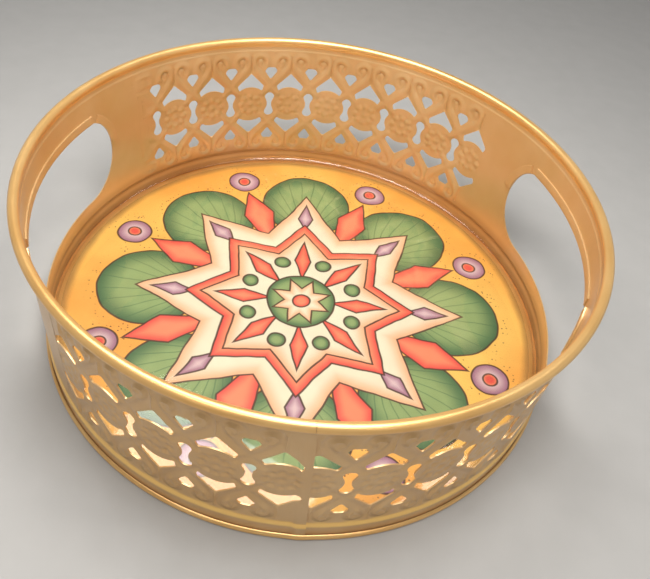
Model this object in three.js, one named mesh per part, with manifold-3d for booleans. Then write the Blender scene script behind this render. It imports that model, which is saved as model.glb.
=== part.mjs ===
// Round serving tray: a pierced sheet wall with two hand openings, a wired rim, a base pan seamed round
// the wall's foot, a printed disc and a clear coat. Millimetres, +Z up, hand openings on +X and -X, and the
// lap seam at -Y.

import * as THREE from 'three';
import Module from 'manifold-3d';
import { mergeVertices } from 'three/addons/utils/BufferGeometryUtils.js';

const wasm = await Module();
wasm.setup();

// Overall sizes
const trayHeight = 84;
const wallRadius = 123.3;
const wallSheet = 0.7;
const clearance = 0.2;

// Rolled rim and its wire
const rimBeadRadius = 2.3;
const rimBeadOffset = 1.4;
const rimCurlStart = 210;
const rimCurlEnd = -70;
const rimCurlSteps = 7;
const wireSides = 6;

// Foot of the wall: stepped out, then flanged into the seam of the base pan
const footStep = 0.8;
const shoulderHeight = 11.2;
const shoulderRise = 1;
const footFlangeLength = 0.75;

// Base pan and its seam bead, which grips the wall's flange and stands on the table
const panSheet = 0.7;
const seamBeadRadius = 1.5;
const seamBeadOffset = 0.4;
const seamBeadEnd = 80;
const seamBeadSteps = 4;
const panFloorRecess = 0.85;
const panRampLength = 1;
const seamFlatWidth = 1.3;

// Print and clear coat on the pan's floor
const printThickness = 0.25;
const printMargin = 2;
const coatThickness = 0.9;
const coatFilletWidth = 2.6;
const coatFilletHeight = 2;
const coatFilletSteps = 3;

// Pierced lattice: a column of small openings, then a medallion with a pointed opening above and below
const pitchesPerTurn = 33;
const latticeMiddle = 43.3;
const dumbbellLobeRadius = 2.75;
const dumbbellLobeOffset = 4.9;
const dumbbellWaist = 2.8;
const dumbbellNeckTurn = 15;
const lobeSteps = 4;
const medallionRadius = 11.1;
const pointedApexOffset = 19.2;
const pointedHalfWidth = 7.4;
const pointedCornerOffset = 11.3;
const pointedHollowInset = 1;
const pointedHollowSteps = 3;
const dropRadius = 3.4;
const dropOffset = 20;
const dropTipOffset = 16.2;
const dropHeadOverrun = 20;

// Lattice panels, counted in half pitches from +X; columns and medallions take turns
const rearColumns = { first: 9, count: 9 };
const rearMedallions = { first: 8, count: 9 };
const frontLeftColumns = { first: 42, count: 4 };
const frontLeftMedallions = { first: 41, count: 5 };
const frontRightColumns = { first: 51, count: 4 };
const frontRightMedallions = { first: 52, count: 4 };
const seamMedallion = 50;

// Lap seam of the wall strip
const seamAngle = 272.1;
const lapWidth = 3;

// Hand openings
const handleHalfWidth = 59;
const handleTop = 63.2;
const handleBottom = 19;
const handleWaist = 43;
const handleTopCorner = 14;
const handleBottomCorner = 20;
const handleTurnToRear = 1.2;
const handleCornerSteps = 6;

// Turned-in hems along the top of each hand opening
const hemWidth = 4.5;
const hemSheet = 0.6;
const hemTopHalfLength = 46.5;
const hemCornerStart = 8;
const hemCornerEnd = 72;

// How far cutting prisms reach on each side of the wall
const cutReach = 14;

// Finish
const goldPaint = 0xcf9d55;
const wireSteel = 0x9a9a98;
const printGround = 0xf0c070;
const coatTint = 0xfff6e0;

// Sizes worked out from the ones above
const roundSegments = 2 * pitchesPerTurn;
const halfPitch = 180 / pitchesPerTurn;
const wallInside = wallRadius - wallSheet / 2;
const wallOutside = wallRadius + wallSheet / 2;
const footRadius = wallRadius + footStep;
const footInside = footRadius - wallSheet / 2;
const rimCentreRadius = wallRadius + rimBeadOffset;
const rimCentreHeight = trayHeight - rimBeadRadius;
const seamCentreRadius = footRadius + seamBeadOffset;
const flangeHeight = panSheet + clearance + wallSheet / 2;
const panFloorTop = panFloorRecess + panSheet;
const panFloorRadius = seamCentreRadius - seamFlatWidth - panRampLength;
const printRadius = panFloorRadius - printMargin;
const printTop = panFloorTop + printThickness;
const coatTop = printTop + coatThickness;
const coatRadius = footInside - clearance;

function polar(radius, height, length, degrees) {
  const angle = THREE.MathUtils.degToRad(degrees);
  return new THREE.Vector2(radius + length * Math.cos(angle), height + length * Math.sin(angle));
}

// Points of an arc, from one angle to another, both included
function arcPoints(radius, height, length, from, to, steps) {
  const points = [];
  for (let i = 0; i <= steps; i += 1) {
    points.push(polar(radius, height, length, from + (to - from) * i / steps));
  }
  return points;
}

// Outline of a bent sheet on both sides of its middle line, left open where the sheet starts on the axis
function sheetOutline(middle, thickness) {
  const left = [];
  const right = [];
  middle.forEach((point, i) => {
    const before = middle[Math.max(i - 1, 0)];
    const after = middle[Math.min(i + 1, middle.length - 1)];
    const into = point.clone().sub(before).normalize();
    const out = after.clone().sub(point).normalize();
    const along = into.clone().add(out).normalize();
    const mitre = Math.max(along.dot(into), along.dot(out));
    const side = new THREE.Vector2(-along.y, along.x).multiplyScalar(thickness / 2 / mitre);
    left.push(point.clone().add(side));
    right.push(point.clone().sub(side));
  });
  const outline = [...left, ...right.reverse()];
  return middle[0].x === 0 ? outline : [...outline, left[0].clone()];
}

// Turns a radius and height outline about the tray's axis
function turned(outline) {
  const area = THREE.ShapeUtils.area(outline);
  const points = area > 0 ? outline : [...outline].reverse();
  const geometry = new THREE.LatheGeometry(points, roundSegments);
  geometry.rotateX(Math.PI / 2);
  return geometry;
}

function toSolid(geometry) {
  const bare = geometry.clone();
  bare.deleteAttribute('normal');
  bare.deleteAttribute('uv');
  const merged = mergeVertices(bare, 1e-5);
  const triVerts = new Uint32Array(merged.index.array);
  const vertProperties = new Float32Array(merged.attributes.position.array);
  return new wasm.Manifold(new wasm.Mesh({ numProp: 3, vertProperties, triVerts }));
}

function toGeometry(solid) {
  const mesh = solid.getMesh();
  const geometry = new THREE.BufferGeometry();
  geometry.setAttribute('position', new THREE.BufferAttribute(new Float32Array(mesh.vertProperties), 3));
  geometry.setIndex(new THREE.BufferAttribute(new Uint32Array(mesh.triVerts), 1));
  geometry.computeVertexNormals();
  return geometry;
}

// Radial prism through the wall: the outline's x is arc length along the wall, and its y is height
function radialPrism(outline, centreAngle) {
  const inner = wallRadius - cutReach;
  const settings = { depth: 2 * cutReach, bevelEnabled: false };
  const geometry = new THREE.ExtrudeGeometry(new THREE.Shape(outline), settings);
  const position = geometry.attributes.position;
  const centre = THREE.MathUtils.degToRad(centreAngle);
  for (let i = 0; i < position.count; i += 1) {
    const angle = centre + position.getX(i) / wallRadius;
    const radius = inner + position.getZ(i);
    position.setXYZ(i, radius * Math.cos(angle), radius * Math.sin(angle), position.getY(i));
  }
  return toSolid(geometry);
}

// Outline of the same opening below the lattice's middle line
function belowMiddle(outline) {
  return outline.map((point) => new THREE.Vector2(point.x, 2 * latticeMiddle - point.y)).reverse();
}

// Two round lobes joined by a waist; each lobe's arc ends a little before the waist's width
function dumbbellOutline() {
  const waistTurn = Math.asin(dumbbellWaist / 2 / dumbbellLobeRadius);
  const neck = THREE.MathUtils.radToDeg(waistTurn) + dumbbellNeckTurn;
  const top = latticeMiddle + dumbbellLobeOffset;
  const bottom = latticeMiddle - dumbbellLobeOffset;
  const upper = arcPoints(0, top, dumbbellLobeRadius, neck - 90, 270 - neck, lobeSteps);
  const lower = arcPoints(0, bottom, dumbbellLobeRadius, 90 + neck, 450 - neck, lobeSteps);
  const left = new THREE.Vector2(-dumbbellWaist / 2, latticeMiddle);
  const right = new THREE.Vector2(dumbbellWaist / 2, latticeMiddle);
  return [...upper, left, ...lower, right];
}

// A round head with its point towards the lattice's middle line
function dropOutline() {
  const end = 180 + dropHeadOverrun;
  const head = arcPoints(0, latticeMiddle + dropOffset, dropRadius, -dropHeadOverrun, end, lobeSteps);
  return [...head, new THREE.Vector2(0, latticeMiddle + dropTipOffset)];
}

// Pointed opening above a medallion, with its base hollowed round the medallion
function pointedOutline() {
  const hollowEnd = (pointedHalfWidth - pointedHollowInset) / medallionRadius;
  const turn = THREE.MathUtils.radToDeg(Math.acos(hollowEnd));
  const base = arcPoints(0, latticeMiddle, medallionRadius, 180 - turn, turn, pointedHollowSteps);
  const rightCorner = new THREE.Vector2(pointedHalfWidth, latticeMiddle + pointedCornerOffset);
  const leftCorner = new THREE.Vector2(-pointedHalfWidth, latticeMiddle + pointedCornerOffset);
  return [...base, rightCorner, new THREE.Vector2(0, latticeMiddle + pointedApexOffset), leftCorner];
}

function everySecond(panel) {
  return Array.from({ length: panel.count }, (_, i) => (panel.first + 2 * i) * halfPitch);
}

function columnOpenings(angle) {
  const drop = dropOutline();
  return [drop, belowMiddle(drop), dumbbellOutline()].map((outline) => radialPrism(outline, angle));
}

function medallionOpenings(angle) {
  const pointed = pointedOutline();
  return [pointed, belowMiddle(pointed)].map((outline) => radialPrism(outline, angle));
}

// Everything on one side of an upright plane through the tray's axis, near the wall
function sectorAfter(angle, arcLength) {
  const outline = [
    new THREE.Vector2(0, 0),
    new THREE.Vector2(arcLength, 0),
    new THREE.Vector2(arcLength, trayHeight),
    new THREE.Vector2(0, trayHeight),
  ];
  return radialPrism(outline, angle);
}

// The medallion that the lap seam cuts: only the part past the seam is open
function seamOpenings() {
  const past = sectorAfter(seamAngle, 2 * pointedHalfWidth);
  return medallionOpenings(seamMedallion * halfPitch).map((solid) => solid.intersect(past));
}

function latticeOpenings() {
  const columns = [rearColumns, frontLeftColumns, frontRightColumns].flatMap(everySecond);
  const medallions = [rearMedallions, frontLeftMedallions, frontRightMedallions].flatMap(everySecond);
  return [...columns.flatMap(columnOpenings), ...medallions.flatMap(medallionOpenings), ...seamOpenings()];
}

// One upper and one lower corner of a hand opening, as quarter ellipses grown by a margin
function handleCorner(upper, grow, from, to) {
  const across = (upper ? handleTopCorner : handleBottomCorner) + grow;
  const tall = (upper ? handleTop - handleWaist : handleWaist - handleBottom) + grow;
  const centreX = handleHalfWidth + grow - across;
  const points = [];
  for (let i = 0; i <= handleCornerSteps; i += 1) {
    const angle = THREE.MathUtils.degToRad(from + (to - from) * i / handleCornerSteps);
    const rise = tall * Math.sin(angle) * (upper ? 1 : -1);
    points.push(new THREE.Vector2(centreX + across * Math.cos(angle), handleWaist + rise));
  }
  return points;
}

function mirrored(outline) {
  return outline.map((point) => new THREE.Vector2(-point.x, point.y)).reverse();
}

function handleOutline() {
  const right = [...handleCorner(false, 0, 90, 0), ...handleCorner(true, 0, 0, 90).slice(1)];
  return [...right, ...mirrored(right)];
}

function handleAngles() {
  return [handleTurnToRear, 180 - handleTurnToRear];
}

// Outlines of the sheet folded back inside along the top and round the upper corners
function hemOutlines() {
  const top = [
    new THREE.Vector2(-hemTopHalfLength, handleTop),
    new THREE.Vector2(hemTopHalfLength, handleTop),
    new THREE.Vector2(hemTopHalfLength, handleTop + hemWidth),
    new THREE.Vector2(-hemTopHalfLength, handleTop + hemWidth),
  ];
  const inner = handleCorner(true, 0, hemCornerEnd, hemCornerStart);
  const outer = handleCorner(true, hemWidth, hemCornerStart, hemCornerEnd);
  const corner = [...inner, ...outer];
  return [top, corner, mirrored(corner)];
}

function ringBetween(innerRadius, outerRadius, bottom, top) {
  const outline = [
    new THREE.Vector2(innerRadius, bottom),
    new THREE.Vector2(outerRadius, bottom),
    new THREE.Vector2(outerRadius, top),
    new THREE.Vector2(innerRadius, top),
    new THREE.Vector2(innerRadius, bottom),
  ];
  return toSolid(turned(outline));
}

function hems() {
  const bond = wallSheet / 2;
  const ring = ringBetween(wallInside - hemSheet, wallInside + bond, handleWaist, handleTop + 2 * hemWidth);
  const fold = (outline, angle) => radialPrism(outline, angle).intersect(ring);
  return handleAngles().flatMap((angle) => hemOutlines().map((outline) => fold(outline, angle)));
}

// The strip's outer end, lying over its inner end at the seam
function lap() {
  const bottom = shoulderHeight + shoulderRise;
  const top = rimCentreHeight - rimBeadRadius;
  const ring = ringBetween(wallRadius, wallOutside + wallSheet, bottom, top);
  const lapAngle = THREE.MathUtils.radToDeg(lapWidth / wallRadius);
  return ring.intersect(sectorAfter(seamAngle - lapAngle, lapWidth));
}

// Middle line of the wall's section: rim curl, straight wall, shoulder, foot and flange
function wallMiddleLine() {
  const curl = rimBeadRadius - wallSheet / 2;
  const rim = arcPoints(rimCentreRadius, rimCentreHeight, curl, rimCurlEnd, rimCurlStart, rimCurlSteps);
  const wall = [
    new THREE.Vector2(wallRadius, rimCentreHeight - rimBeadRadius),
    new THREE.Vector2(wallRadius, shoulderHeight + shoulderRise),
    new THREE.Vector2(footRadius, shoulderHeight),
    new THREE.Vector2(footRadius, flangeHeight + wallSheet),
    new THREE.Vector2(footRadius + wallSheet / 2, flangeHeight),
    new THREE.Vector2(footRadius + footFlangeLength, flangeHeight),
  ];
  return [...rim, ...wall];
}

function wallStrip() {
  const plain = toSolid(turned(sheetOutline(wallMiddleLine(), wallSheet)));
  const handles = handleAngles().map((angle) => radialPrism(handleOutline(), angle));
  const open = [...latticeOpenings(), ...handles].reduce((wall, opening) => wall.subtract(opening), plain);
  return toGeometry([...hems(), lap()].reduce((wall, extra) => wall.add(extra), open));
}

function rimWire() {
  const length = rimBeadRadius - wallSheet - clearance;
  return turned(arcPoints(rimCentreRadius, rimCentreHeight, length, 0, 360, wireSides));
}

// Floor, a small step down to the flat that stands on the table, and the bead rolled over the wall's flange
function basePan() {
  const length = seamBeadRadius - panSheet / 2;
  const middle = [
    new THREE.Vector2(0, panFloorRecess + panSheet / 2),
    new THREE.Vector2(panFloorRadius, panFloorRecess + panSheet / 2),
    new THREE.Vector2(panFloorRadius + panRampLength, panSheet / 2),
    ...arcPoints(seamCentreRadius, seamBeadRadius, length, -90, seamBeadEnd, seamBeadSteps),
  ];
  return turned(sheetOutline(middle, panSheet));
}

function printedDisc() {
  return turned([
    new THREE.Vector2(0, panFloorTop),
    new THREE.Vector2(printRadius, panFloorTop),
    new THREE.Vector2(printRadius, printTop),
    new THREE.Vector2(0, printTop),
  ]);
}

// Clear coat over the print, down to the pan round its edge, and up the wall's foot in a hollow fillet
function clearCoat() {
  const edge = printRadius + clearance / 2;
  const fillet = [];
  for (let i = coatFilletSteps; i > 0; i -= 1) {
    const turn = i / coatFilletSteps * Math.PI / 2;
    const rise = coatFilletHeight * (1 - Math.cos(turn));
    fillet.push(new THREE.Vector2(coatRadius - coatFilletWidth * (1 - Math.sin(turn)), coatTop + rise));
  }
  return turned([
    new THREE.Vector2(0, printTop),
    new THREE.Vector2(edge, printTop),
    new THREE.Vector2(edge, panFloorTop),
    new THREE.Vector2(coatRadius, panFloorTop),
    ...fillet,
    new THREE.Vector2(coatRadius - coatFilletWidth, coatTop),
    new THREE.Vector2(0, coatTop),
  ]);
}

function finish(color, roughness, metalness, extra = {}) {
  return new THREE.MeshStandardMaterial({ color, roughness, metalness, ...extra });
}

function piece(name, geometry, material) {
  const mesh = new THREE.Mesh(geometry, material);
  mesh.name = name;
  return mesh;
}

const tray = new THREE.Group();
tray.add(piece('wall_strip', wallStrip(), finish(goldPaint, 0.4, 0.6)));
tray.add(piece('rim_wire', rimWire(), finish(wireSteel, 0.45, 1)));
tray.add(piece('base_pan', basePan(), finish(goldPaint, 0.4, 0.6)));
tray.add(piece('printed_disc', printedDisc(), finish(printGround, 0.8, 0)));
tray.add(piece('clear_coat', clearCoat(), finish(coatTint, 0.08, 0, { transparent: true, opacity: 0.35 })));

export default tray;
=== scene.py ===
"""Round serving tray: gold-painted sheet wall with a pierced and embossed lattice, rolled rim, base pan,
printed floor and clear coat, in a plain studio. Metres, +Z up, hand openings on +X and -X, seam at -Y."""

import logging
import math
from dataclasses import dataclass, field
from enum import Enum
from typing import Any, Sequence

import bmesh
import bpy
import numpy as np
from mathutils import Matrix, Vector


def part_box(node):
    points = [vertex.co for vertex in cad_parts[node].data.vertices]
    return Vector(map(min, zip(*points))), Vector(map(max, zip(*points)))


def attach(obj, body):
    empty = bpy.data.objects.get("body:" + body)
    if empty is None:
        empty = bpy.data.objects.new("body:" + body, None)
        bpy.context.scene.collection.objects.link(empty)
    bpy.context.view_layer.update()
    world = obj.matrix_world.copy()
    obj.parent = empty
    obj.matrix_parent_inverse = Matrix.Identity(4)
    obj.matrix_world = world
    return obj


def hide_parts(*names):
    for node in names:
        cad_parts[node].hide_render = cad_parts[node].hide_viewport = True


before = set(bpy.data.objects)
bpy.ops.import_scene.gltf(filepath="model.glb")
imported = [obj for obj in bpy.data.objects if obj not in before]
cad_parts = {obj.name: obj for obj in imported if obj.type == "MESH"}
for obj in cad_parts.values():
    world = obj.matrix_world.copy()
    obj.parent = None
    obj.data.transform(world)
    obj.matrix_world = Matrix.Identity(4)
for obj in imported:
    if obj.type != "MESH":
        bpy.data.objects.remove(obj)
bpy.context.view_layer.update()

MM = 0.001
LOG = logging.getLogger("round_tray")
Outline = list[tuple[float, float]]
Triple = tuple[float, float, float]
Span = tuple[float, float]
Colour = tuple[float, float, float, float]


class Slot(Enum):
    """Material slots of the record."""

    GOLD = "gold_paint"
    WIRE = "rim_wire_steel"
    PRINT = "print"
    COAT = "clear_coat"


class Panel(Enum):
    """What a module of the wall strip holds."""

    COLUMN = "column"
    MEDALLION = "medallion"
    HANDLE = "handle"
    PLAIN = "plain"


Module = tuple[Panel, float, float, float, int]


@dataclass(frozen=True)
class TraySizes:
    """Main sizes of the tray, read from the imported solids, and the sheet's own sizes in metres."""

    height: float
    outer_radius: float
    bead_outer_radius: float
    floor_radius: float
    print_radius: float
    print_bottom: float
    print_top: float
    coat_radius: float
    coat_top: float
    coat_edge_top: float
    sheet: float = 0.7 * MM
    rim_radius: float = 2.3 * MM
    rim_offset: float = 1.4 * MM
    foot_step: float = 0.8 * MM
    shoulder: float = 11.2 * MM
    seam_angle: float = math.radians(272.1)
    lap: float = 3 * MM
    half_pitches: int = 66

    @property
    def wall_radius(self) -> float:
        """Radius of the middle of the straight wall's sheet."""
        return self.outer_radius - self.rim_radius - self.rim_offset

    @property
    def half_pitch(self) -> float:
        """Arc length of half a lattice pitch along the wall."""
        return 2 * math.pi * self.wall_radius / self.half_pitches

    @staticmethod
    def from_frame() -> "TraySizes":
        """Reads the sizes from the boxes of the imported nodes."""
        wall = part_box("wall_strip")
        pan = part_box("base_pan")
        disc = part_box("printed_disc")
        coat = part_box("clear_coat")
        return TraySizes(
            height=round(wall[1][2], 4),
            outer_radius=round(wall[1][1], 4),
            bead_outer_radius=pan[1][1],
            floor_radius=disc[1][1] + 2 * MM,
            print_radius=disc[1][1],
            print_bottom=disc[0][2],
            print_top=disc[1][2],
            coat_radius=coat[1][1],
            coat_top=disc[1][2] + 0.9 * MM,
            coat_edge_top=coat[1][2],
        )


def finish_mesh(obj: bpy.types.Object, sharp_angle: float = 40.0) -> bpy.types.Object:
    """Applies the modifiers of an object and shades it smooth up to a sharp angle.

    Args:
        obj: the object, at the origin.
        sharp_angle: edges sharper than this, in degrees, stay sharp.

    Returns:
        The same object with its final mesh.
    """
    depsgraph = bpy.context.evaluated_depsgraph_get()
    mesh = bpy.data.meshes.new_from_object(obj.evaluated_get(depsgraph))
    obj.modifiers.clear()
    obj.data = mesh
    mesh.shade_smooth()
    mesh.set_sharp_from_angle(angle=math.radians(sharp_angle))
    return obj


def to_object(name: str, bm: bmesh.types.BMesh) -> bpy.types.Object:
    """Makes an object from a bmesh and frees the bmesh.

    Args:
        name: name of the object and its mesh.
        bm: the bmesh, in metres in the tray's frame.

    Returns:
        The new object, linked to the scene.
    """
    mesh = bpy.data.meshes.new(name)
    bm.to_mesh(mesh)
    bm.free()
    obj = bpy.data.objects.new(name, mesh)
    bpy.context.scene.collection.objects.link(obj)
    return obj


def thickened(name: str, bm: bmesh.types.BMesh, thickness: float, sharp_angle: float) -> bpy.types.Object:
    """Makes a finished sheet from its middle skin.

    Args:
        name: name of the object and its mesh.
        bm: the skin, in metres in the tray's frame.
        thickness: the sheet's thickness, half of it to each side.
        sharp_angle: edges sharper than this, in degrees, stay sharp.

    Returns:
        The new object, linked to the scene.
    """
    obj = to_object(name, bm)
    solidify = obj.modifiers.new("sheet", "SOLIDIFY")
    solidify.thickness = thickness
    solidify.offset = 0
    return finish_mesh(obj, sharp_angle)


def spun(points: Outline, steps: int, angle: float = 2 * math.pi,
         start: float = 0.0) -> bmesh.types.BMesh:
    """Spins a line of radius and height points about the tray's axis.

    Args:
        points: (radius, height) pairs; a radius of 0 lies on the axis.
        steps: number of steps of the spin.
        angle: angle of the spin in radians; a full turn is closed.
        start: angle at which the spin starts.

    Returns:
        A bmesh of one skin with its doubles merged.
    """
    bm = bmesh.new()
    verts = [bm.verts.new((r * math.cos(start), r * math.sin(start), z)) for r, z in points]
    edges = [bm.edges.new(pair) for pair in zip(verts, verts[1:])]
    full = abs(angle - 2 * math.pi) < 1e-9
    bmesh.ops.spin(bm, geom=verts + edges, cent=(0, 0, 0), axis=(0, 0, 1), dvec=(0, 0, 0), angle=angle,
                   steps=steps, use_merge=full, use_normal_flip=False, use_duplicate=False)
    bmesh.ops.remove_doubles(bm, verts=bm.verts, dist=1e-6)
    bmesh.ops.dissolve_degenerate(bm, edges=bm.edges, dist=1e-7)
    return bm


def arc(cx: float, cy: float, radius: float, start: float, end: float, steps: int) -> Outline:
    """Points of an arc.

    Args:
        cx: centre's first coordinate.
        cy: centre's second coordinate.
        radius: radius of the arc.
        start: first angle in degrees.
        end: last angle in degrees.
        steps: number of steps.

    Returns:
        The points, both ends included.
    """
    turns = (math.radians(start + (end - start) * i / steps) for i in range(steps + 1))
    return [(cx + radius * math.cos(t), cy + radius * math.sin(t)) for t in turns]


def rounded(corners: Sequence[Triple], steps: int = 6) -> Outline:
    """Rounds the corners of an outline.

    Args:
        corners: (x, y, radius) of each corner, counter-clockwise; a radius of 0 stays a point.
        steps: steps of each rounding.

    Returns:
        The points of the rounded outline.
    """
    points: Outline = []
    count = len(corners)
    for i, (x, y, radius) in enumerate(corners):
        here = Vector((x, y))
        back = Vector(corners[i - 1][:2]) - here
        ahead = Vector(corners[(i + 1) % count][:2]) - here
        if radius == 0:
            points.append((x, y))
            continue
        half = back.angle(ahead) / 2
        reach = min(radius / math.tan(half), back.length * 0.48, ahead.length * 0.48)
        first = here + back.normalized() * reach
        last = here + ahead.normalized() * reach
        for j in range(steps + 1):
            t = j / steps
            point = first * (1 - t) ** 2 + here * 2 * t * (1 - t) + last * t ** 2
            points.append((point.x, point.y))
    return points


def flipped(outline: Outline) -> Outline:
    """The same outline below the lattice's middle line."""
    return [(x, -y) for x, y in reversed(outline)]


@dataclass(frozen=True)
class WallSection:
    """Middle line of the wall's sheet from the seam flange up to the neck under the rim.

    The path length t equals the height on the straight wall.
    """

    sizes: TraySizes
    flange_length: float = 0.75 * MM
    flange_height: float = 1.25 * MM
    step_height: float = 77.0 * MM
    step_depth: float = 0.3 * MM
    neck: float = 79.3 * MM
    points: tuple[Triple, ...] = field(init=False)

    def __post_init__(self) -> None:
        """Works out the path's points as (t, radius, height)."""
        wall = self.sizes.wall_radius
        foot = wall + self.sizes.foot_step
        shoulder = self.sizes.shoulder
        shape = [
            (foot + self.flange_length, self.flange_height),
            (foot + 0.4 * MM, self.flange_height),
            (foot + 0.2 * MM, self.flange_height + 0.25 * MM),
            (foot, self.flange_height + 0.8 * MM),
            (foot - 0.04 * MM, shoulder - 5.2 * MM),
            (foot + 0.06 * MM, shoulder - 3.2 * MM),
            (foot + 0.1 * MM, shoulder - 2.4 * MM),
            (foot + 0.04 * MM, shoulder - 1.9 * MM),
            (foot - 0.14 * MM, shoulder - 1.55 * MM),
            (wall + 0.3 * MM, shoulder - 1.1 * MM),
            (wall + 0.06 * MM, shoulder - 0.75 * MM),
            (wall, shoulder - 0.3 * MM),
            (wall, self.step_height - 0.15 * MM),
            (wall + self.step_depth * 0.15, self.step_height + 0.1 * MM),
            (wall + self.step_depth * 0.85, self.step_height + 0.45 * MM),
            (wall + self.step_depth, self.step_height + 0.7 * MM),
            (wall + self.step_depth, self.neck),
        ]
        lengths = [0.0]
        for (r0, z0), (r1, z1) in zip(shape, shape[1:]):
            lengths.append(lengths[-1] + math.hypot(r1 - r0, z1 - z0))
        shift = self.neck - lengths[-1]
        path = tuple((t + shift, r, z) for t, (r, z) in zip(lengths, shape))
        object.__setattr__(self, "points", path)

    def at(self, t: np.ndarray) -> tuple[np.ndarray, np.ndarray, np.ndarray, np.ndarray]:
        """Place and outward normal of path points.

        Args:
            t: path lengths.

        Returns:
            Radius, height, and the normal's radial and upward parts.
        """
        lengths, radii, heights = np.array(self.points).T
        step = 0.12 * MM
        dr = np.interp(t + step, lengths, radii) - np.interp(t - step, lengths, radii)
        dz = np.interp(t + step, lengths, heights) - np.interp(t - step, lengths, heights)
        length = np.maximum(np.hypot(dr, dz), 1e-9)
        return np.interp(t, lengths, radii), np.interp(t, lengths, heights), dz / length, -dr / length

    def rows(self, bands: Sequence[Triple]) -> list[float]:
        """Path lengths of the grid's rows, with even rows where the relief is.

        Args:
            bands: (bottom, top, step) of each band of even rows, from the lowest up.

        Returns:
            The rows from the flange up to the neck.
        """
        even: list[float] = []
        for bottom, top, step in bands:
            even += list(np.linspace(bottom, top, round((top - bottom) / step) + 1))[1 if even else 0:]
        low = [t for t, _, _ in self.points if t < even[0] - 0.2 * MM]
        return low + even + [t for t, _, _ in self.points if t > even[-1] + 0.2 * MM]


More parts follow.
